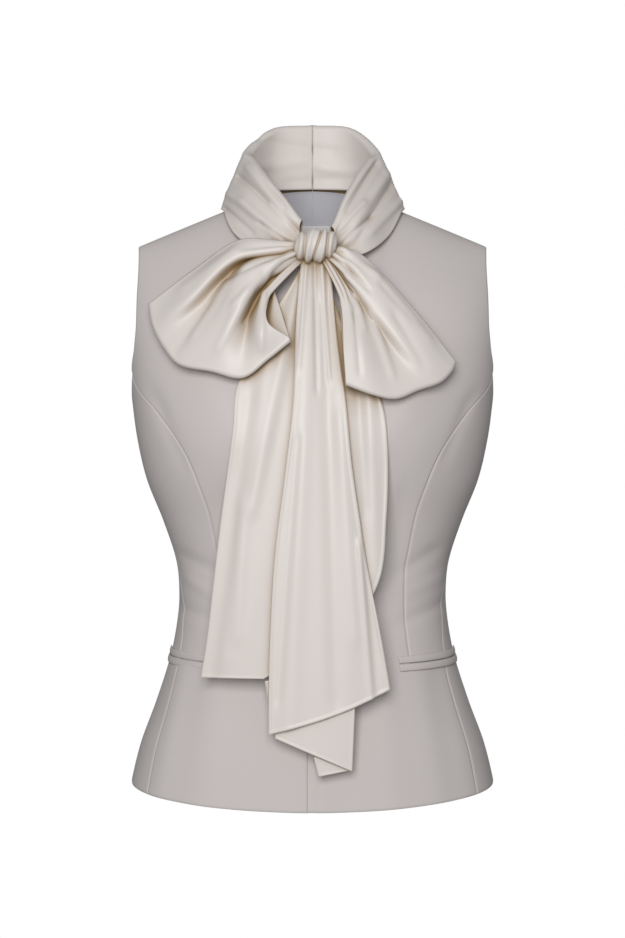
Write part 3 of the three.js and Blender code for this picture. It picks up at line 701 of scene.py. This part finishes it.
def loop_surface(rows):
    stations = [through_points(rows[:, k]) for k in range(4)]
    middle = np.array(KNOT_CENTRE)

    def front(fold, along):
        four = np.stack([station(fold) for station in stations])
        t = np.clip(along, 0, 1) * 3
        i = np.clip(np.floor(t).astype(int), 0, 2)
        first, second, third, last = four
        slope = np.stack([second - first, (third - first) / 2, (last - second) / 2, last - third])

        def pick(table, k):
            return np.take_along_axis(table, k[None, ..., None], 0)[0]

        s = (t - i)[..., None]
        start, end = pick(four, i), pick(four, i + 1)
        rise = s * s * (3 - 2 * s)
        bend = s * (1 - s) ** 2 * pick(slope, i) + s * s * (s - 1) * pick(slope, i + 1)
        return start + (end - start) * rise + bend

    def seat(point):
        x, z, lift = point[..., 0], point[..., 1], point[..., 2]
        return np.stack([x, -hanging_depth(x, z) - lift, z], -1)

    def surface(fold, along):
        face = front(fold, along)
        # The root is drawn in under the knot.
        pull = 0.75 * (1 - smooth(0, 0.22, along))
        gather = pull[..., None] * (middle[[0, 2]] - face[..., :2])
        near = seat(np.concatenate([face[..., :2] + gather, face[..., 2:]], -1))
        near[..., 1] += 6 * pull
        root, turn = front(fold, 0 * along), front(fold, 0 * along + 1)
        out = (turn - root) * (1, 1, 0)
        out /= np.linalg.norm(out, axis=-1, keepdims=True)
        sweep = np.pi * np.clip(along - 1, 0, 1)
        round_end = seat(turn + out * LOOP_TURN * np.sin(sweep)[..., None])
        round_end[..., 1] += LOOP_TURN * (1 - np.cos(sweep))
        back = seat(turn + (root - turn) * np.clip(along - 2, 0, 1)[..., None])
        back[..., 1] += 2 * LOOP_TURN
        at = along[..., None]
        return np.where(at <= 1, near, np.where(at < 2, round_end, back))

    return surface


def build_loops(sizes):
    """The two bow loops, each turned back at its outer end."""

    def folds(point, fold, along):
        height = creases(LOOP_CREASES, point[..., 0], point[..., 2])
        gathered = (1 - smooth(0.05, 0.4, along)) * 1.1 * np.sin(13 * np.pi * fold)
        return sizes.creases * (height + gathered) * (1 - smooth(0.85, 1.15, along))

    along = np.concatenate([
        np.linspace(0, 1, 96), np.linspace(1, 2, 14)[1:], np.linspace(2, 3, 40)[1:],
    ])
    for side, rows in (("right", LOOP_RIGHT), ("left", LOOP_LEFT)):
        left = side == "left"
        cloth(f"loop_{side}", "satin", loop_surface(rows), np.linspace(0, 1, 120), along,
              sizes.satin * 1000, "gathered", ["knot_cloth"], outside=left, face=1 if left else -1,
              relief=folds, edge=(0, 1, 0))


def tail_surface(rows, bottom):
    left, right, lift = (through(rows, k) for k in (1, 2, 3))

    def surface(across, up):
        z = bottom(across) + (-rows[0, 0] - bottom(across)) * up
        x = left(-z) + (right(-z) - left(-z)) * across
        return np.stack([x, -hanging_depth(x, z) - lift(-z), z], -1)

    return surface


def flap_surface(tip, foot, shoulder, lift):
    def surface(across, up):
        far = 0.06 + 0.94 * across
        x = tip[0] + (foot[0] + (shoulder[0] - foot[0]) * up - tip[0]) * far
        z = tip[1] + (foot[1] + (shoulder[1] - foot[1]) * up - tip[1]) * far
        return np.stack([x, -hanging_depth(x, z) - lift, z], -1)

    return surface


def build_tails(sizes):
    """The hanging ends of the scarf, with narrow rolled hems and their folded corners."""
    thick = sizes.satin * 1000
    hem = (0.7, 1.5, 1.6)

    def flap(node, shape, count, width, **more):
        even = np.linspace(0, 1, count)
        return cloth(node, "satin", flap_surface(*shape), even, even, width, "folded", ["tail_front_cloth"],
                     edge=(0.3, 1.2, 1.2), **more)

    back_corner = flap("tail_back_corner", BACK_CORNER, 16, 1, declare=False)
    front_corner = flap("tail_front_corner", FOLDED_CORNER, 24, 1, declare=False)
    flap("tail_front_folded_end", FOLDED_END, 60, thick)

    def hangs(rows):
        return lambda point, u, v: sizes.creases * creases(rows, point[..., 0], point[..., 2])

    def front_hem(across):
        return -515 + 42 * across - 4 * np.sin(np.pi * across)

    cloth("tail_back", "satin", tail_surface(TAIL_BACK, lambda across: -463 + 0 * across), spaced(0, 1, 84),
          spaced(0, 1, 190), thick, "hung", ["knot_cloth"], relief=hangs(TAIL_BACK_CREASES), edge=hem,
          with_pieces=[back_corner])
    cloth("tail_front", "satin", tail_surface(TAIL_FRONT, front_hem), spaced(0, 1, 70), spaced(0, 1, 210),
          thick, "hung", ["knot_cloth"], relief=hangs(TAIL_FRONT_CREASES), edge=hem,
          with_pieces=[front_corner])


def build_stage(sizes):
    """Soft light from the front and a weaker one behind, a white background, and the camera."""
    scene = bpy.context.scene
    world = bpy.data.worlds.new("white_room")
    world.use_nodes = True
    tree = world.node_tree
    tree.nodes.clear()
    path = add_node(tree, "ShaderNodeLightPath")
    dim = add_node(tree, "ShaderNodeBackground", {"Color": linear("#ffffff"), "Strength": sizes.fill})
    white = add_node(tree, "ShaderNodeBackground", {"Color": linear("#ffffff"), "Strength": 1.0})
    is_camera = path.outputs["Is Camera Ray"]
    seen = add_node(tree, "ShaderNodeMixShader", {0: is_camera, 1: dim.outputs[0], 2: white.outputs[0]})
    add_node(tree, "ShaderNodeOutputWorld", {"Surface": seen.outputs[0]})
    scene.world = world

    for name, place, turn, power in (("front_softbox", (-0.25, -2.6, 0.35), (77, -5), sizes.key),
                                     ("back_softbox", (0.3, 2.6, 0.35), (77, 173), sizes.key * 0.4)):
        light = bpy.data.lights.new(name, "AREA")
        light.shape = "RECTANGLE"
        light.size, light.size_y, light.energy = 1.3, 1.7, power
        lamp = bpy.data.objects.new(name, light)
        lamp.location = place
        lamp.rotation_euler = (np.radians(turn[0]), 0, np.radians(turn[1]))
        scene.collection.objects.link(lamp)
        lamp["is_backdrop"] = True

    lens = bpy.data.cameras.new("camera")
    lens.lens = 84.4
    lens.sensor_width = 36
    camera = bpy.data.objects.new("camera", lens)
    camera.location = (0, -2.2, -0.265)
    camera.rotation_euler = (np.radians(90), 0, 0)
    scene.collection.objects.link(camera)
    scene.camera = camera
    scene.view_settings.view_transform = "Standard"


class WaistcoatSizes(bpy.types.PropertyGroup):
    """Sizes and colours of the cloth, and strengths of the light."""

    shell: bpy.props.FloatProperty(
        name="Shell", description="Suiting thickness", default=0.0016, unit="LENGTH"
    )
    satin: bpy.props.FloatProperty(
        name="Satin", description="Satin thickness", default=0.0012, unit="LENGTH"
    )
    lining: bpy.props.FloatProperty(
        name="Lining", description="Lining thickness", default=0.0009, unit="LENGTH"
    )
    creases: bpy.props.FloatProperty(
        name="Creases", description="Crease height, times that of the tables", default=1.4, subtype="FACTOR"
    )
    suiting_colour: bpy.props.StringProperty(
        name="Suiting colour", description="Suiting, as an sRGB hex value", default="#cdc6c4"
    )
    satin_colour: bpy.props.StringProperty(
        name="Satin colour", description="Satin, as an sRGB hex value", default="#ded7d2"
    )
    # Painted shade: the warm gold mixed into the satin deep in its folds, in place of light bounced there.
    painted_fold_shade_colour: bpy.props.StringProperty(
        name="Hollow colour", description="Satin deep in its folds, as an sRGB hex value", default="#9a7f55"
    )
    lining_colour: bpy.props.StringProperty(
        name="Lining colour", description="Lining, as an sRGB hex value", default="#c2c1c7"
    )
    fill: bpy.props.FloatProperty(
        name="Fill", description="Strength of the light from all round", default=0.2
    )
    key: bpy.props.FloatProperty(
        name="Key", description="Power of the front light in watts", default=56, unit="POWER"
    )


class WAISTCOAT_OT_body(bpy.types.Operator):
    """Build the suiting shell with its pocket welts."""

    bl_idname = "waistcoat.body"
    bl_label = "Shell panels"

    def execute(self, context):
        build_body(context.scene.waistcoat_sizes)
        return {"FINISHED"}


class WAISTCOAT_OT_lining(bpy.types.Operator):
    """Build the back lining and the bare label."""

    bl_idname = "waistcoat.lining"
    bl_label = "Lining and label"

    def execute(self, context):
        build_lining(context.scene.waistcoat_sizes)
        return {"FINISHED"}


class WAISTCOAT_OT_collar(bpy.types.Operator):
    """Build the doubled collar band."""

    bl_idname = "waistcoat.collar"
    bl_label = "Collar"

    def execute(self, context):
        build_collar(context.scene.waistcoat_sizes)
        return {"FINISHED"}


class WAISTCOAT_OT_knot(bpy.types.Operator):
    """Build the knot."""

    bl_idname = "waistcoat.knot"
    bl_label = "Knot"

    def execute(self, context):
        build_knot(context.scene.waistcoat_sizes)
        return {"FINISHED"}


class WAISTCOAT_OT_loops(bpy.types.Operator):
    """Build both bow loops."""

    bl_idname = "waistcoat.loops"
    bl_label = "Bow loops"

    def execute(self, context):
        build_loops(context.scene.waistcoat_sizes)
        return {"FINISHED"}


class WAISTCOAT_OT_tails(bpy.types.Operator):
    """Build the hanging ends with their folded corners."""

    bl_idname = "waistcoat.tails"
    bl_label = "Hanging ends"

    def execute(self, context):
        build_tails(context.scene.waistcoat_sizes)
        return {"FINISHED"}


class WAISTCOAT_OT_stage(bpy.types.Operator):
    """Set up the light, the background and the camera."""

    bl_idname = "waistcoat.stage"
    bl_label = "Stage"

    def execute(self, context):
        build_stage(context.scene.waistcoat_sizes)
        return {"FINISHED"}


OPERATORS = [
    WAISTCOAT_OT_body, WAISTCOAT_OT_lining, WAISTCOAT_OT_collar, WAISTCOAT_OT_knot, WAISTCOAT_OT_loops,
    WAISTCOAT_OT_tails, WAISTCOAT_OT_stage,
]


class WAISTCOAT_PT_panel(bpy.types.Panel):
    """Lists the build steps."""

    bl_label = "Waistcoat"
    bl_space_type = "VIEW_3D"
    bl_region_type = "UI"
    bl_category = "Waistcoat"

    def draw(self, context):
        for made in OPERATORS:
            self.layout.operator(made.bl_idname)


CLASSES = [WaistcoatSizes, *OPERATORS, WAISTCOAT_PT_panel]


def register():
    for made in CLASSES:
        bpy.utils.register_class(made)
    bpy.types.Scene.waistcoat_sizes = bpy.props.PointerProperty(type=WaistcoatSizes)


def unregister():
    del bpy.types.Scene.waistcoat_sizes
    for made in reversed(CLASSES):
        bpy.utils.unregister_class(made)


def corners(box):
    return [[float(value) for value in corner] for corner in box]


def main():
    cad_box = corners(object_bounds())
    register()
    for made in OPERATORS:
        step = getattr(bpy.ops.waistcoat, made.bl_idname.split(".")[1])
        if step() != {"FINISHED"}:
            raise RuntimeError(f"{made.bl_label} was not built")
    {"cad": cad_box, "visual": corners(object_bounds())}


if __name__ == "__main__":
    main()
